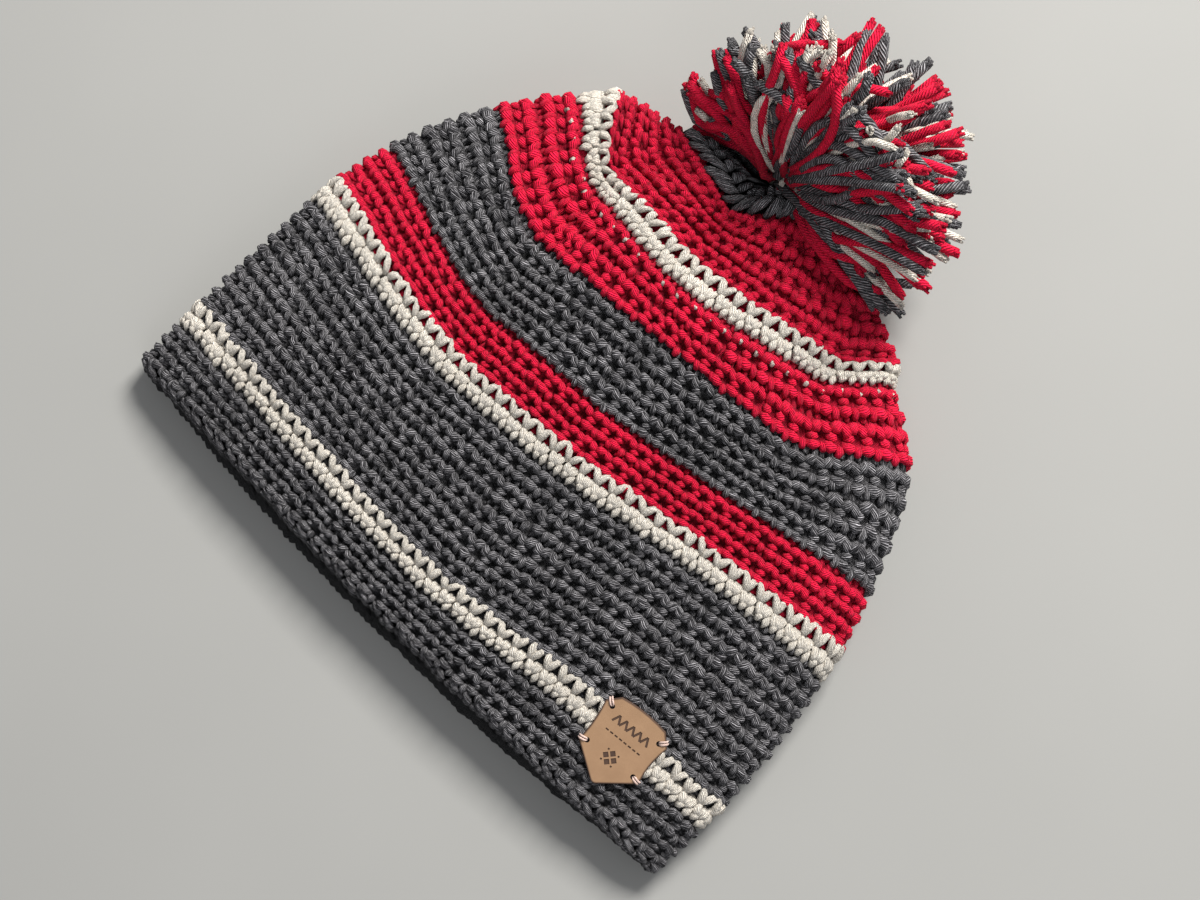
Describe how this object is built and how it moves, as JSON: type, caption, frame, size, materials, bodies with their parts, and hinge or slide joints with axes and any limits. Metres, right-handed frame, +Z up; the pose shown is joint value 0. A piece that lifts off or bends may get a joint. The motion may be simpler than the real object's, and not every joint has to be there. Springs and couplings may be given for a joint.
{
  "type": "crochet beanie with pompom",
  "caption": "Striped crochet beanie with a shaggy yarn pompom, lying flat with its crown creased, open at the hem.",
  "frame": {"origin": "on the flat underside that the hat lies on, below the middle of the widest charcoal band", "axes": "+X along the hem, +Y from the hem to the crown, +Z up from the surface the hat lies on"},
  "size_m": [0.24, 0.2547, 0.0822],
  "materials": {
    "yarn_charcoal": "matt plied yarn",
    "yarn_red": "matt plied yarn",
    "yarn_cream": "matt plied yarn",
    "leather": "smooth undyed leather with burnt edges"
  },
  "bodies": {
    "root": {"hem_band": "yarn_charcoal", "cream_stripe_low": "yarn_cream", "charcoal_band": "yarn_charcoal", "cream_stripe_middle": "yarn_cream", "red_band_low": "yarn_red", "charcoal_band_high": "yarn_charcoal", "red_band_high": "yarn_red", "cream_stripe_high": "yarn_cream", "crown_red": "yarn_red", "crown_gather": "yarn_charcoal", "pompom": "yarn_red", "leather_label": "leather"}
  },
  "joints": []
}
